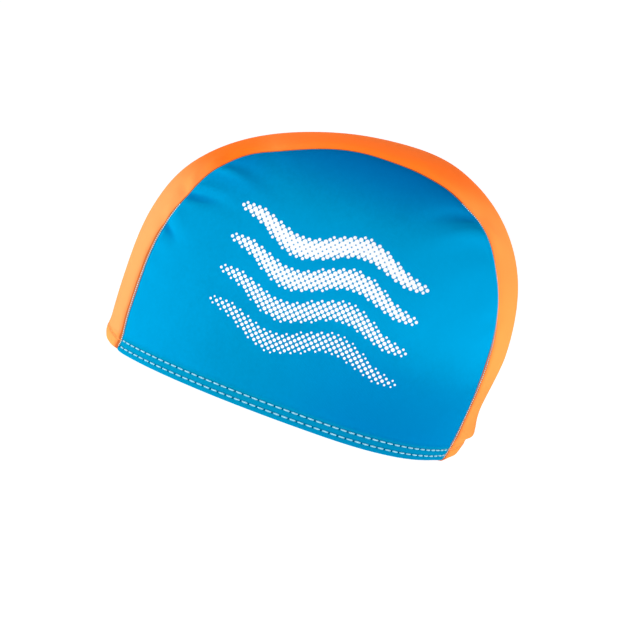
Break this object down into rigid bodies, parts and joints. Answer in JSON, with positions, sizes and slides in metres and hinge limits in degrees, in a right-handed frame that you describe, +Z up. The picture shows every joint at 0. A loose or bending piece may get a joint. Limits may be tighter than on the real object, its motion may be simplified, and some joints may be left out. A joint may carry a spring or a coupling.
{
  "type": "swim cap",
  "caption": "Stretch-knit swim cap with side panels sewn to a centre strip and a turned-up hem, filled out to the shape of a head.",
  "frame": {"origin": "on the surface the cap stands on, under the middle of its box", "axes": "+Z up towards the crown, +X towards the nape, -X towards the forehead, -Y towards the wearer's left"},
  "size_m": [0.1938, 0.1372, 0.1415],
  "materials": {
    "panel_knit": "bright blue satin stretch knit",
    "strip_knit": "bright orange satin stretch knit",
    "white_thread": "white sewing thread, slightly glossy",
    "print_ink": "matt white printed dots"
  },
  "bodies": {
    "root": {"left_panel": "panel_knit", "right_panel": "panel_knit", "centre_strip": "strip_knit"}
  },
  "joints": []
}
